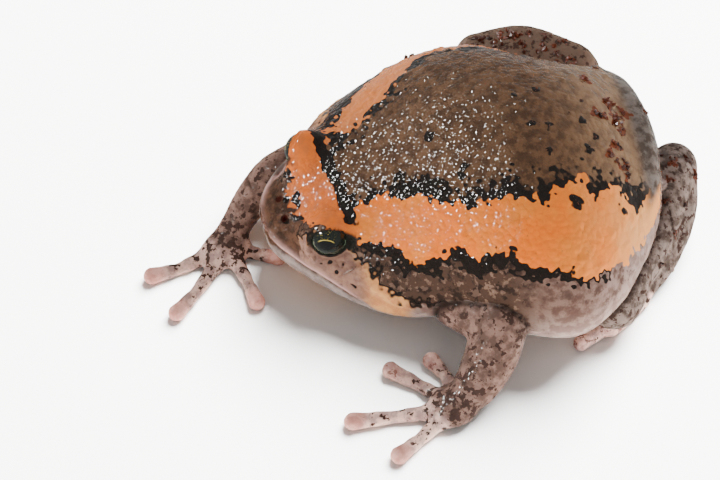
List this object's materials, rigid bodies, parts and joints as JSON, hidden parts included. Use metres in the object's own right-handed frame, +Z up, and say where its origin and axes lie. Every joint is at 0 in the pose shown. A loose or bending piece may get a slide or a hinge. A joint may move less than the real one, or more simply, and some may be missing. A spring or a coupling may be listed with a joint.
{
  "type": "frog",
  "caption": "Life-size still model of a plump, short-headed burrowing frog sitting low, striped orange and brown, one arm reaching forward.",
  "frame": {"origin": "centre of the bounding box in plan, on the floor that the belly, hands and feet rest on", "axes": "+Z up, -Y the way the frog faces, +X its left side"},
  "size_m": [0.0878, 0.0996, 0.0328],
  "materials": {
    "back_skin": "moist granular skin, brown patch with orange stripes",
    "throat_skin": "moist smooth skin",
    "eyelid": "moist smooth skin",
    "limb_skin": "moist mottled skin",
    "digit_skin": "moist smooth skin",
    "eye": "wet glossy, dark olive with gold flecks"
  },
  "bodies": {
    "root": {"eye_left": "eye", "eye_right": "eye", "finger_1_left": "digit_skin", "finger_1_right": "digit_skin", "finger_2_left": "digit_skin", "finger_2_right": "digit_skin", "finger_3_left": "digit_skin", "finger_3_right": "digit_skin", "finger_4_left": "digit_skin", "finger_4_right": "digit_skin", "foot_left": "limb_skin", "foot_right": "limb_skin", "forearm_left": "limb_skin", "forearm_right": "limb_skin", "hand_left": "limb_skin", "hand_right": "limb_skin", "head": "back_skin", "lower_jaw": "throat_skin", "lower_lid_left": "eyelid", "lower_lid_right": "eyelid", "shank_left": "limb_skin", "shank_right": "limb_skin", "thigh_left": "limb_skin", "thigh_right": "limb_skin", "toe_1_left": "digit_skin", "toe_1_right": "digit_skin", "toe_2_left": "digit_skin", "toe_2_right": "digit_skin", "toe_3_left": "digit_skin", "toe_3_right": "digit_skin", "toe_4_left": "digit_skin", "toe_4_right": "digit_skin", "toe_5_left": "digit_skin", "toe_5_right": "digit_skin", "torso": "back_skin", "upper_arm_left": "limb_skin", "upper_arm_right": "limb_skin", "upper_lid_left": "eyelid", "upper_lid_right": "eyelid"}
  },
  "joints": []
}
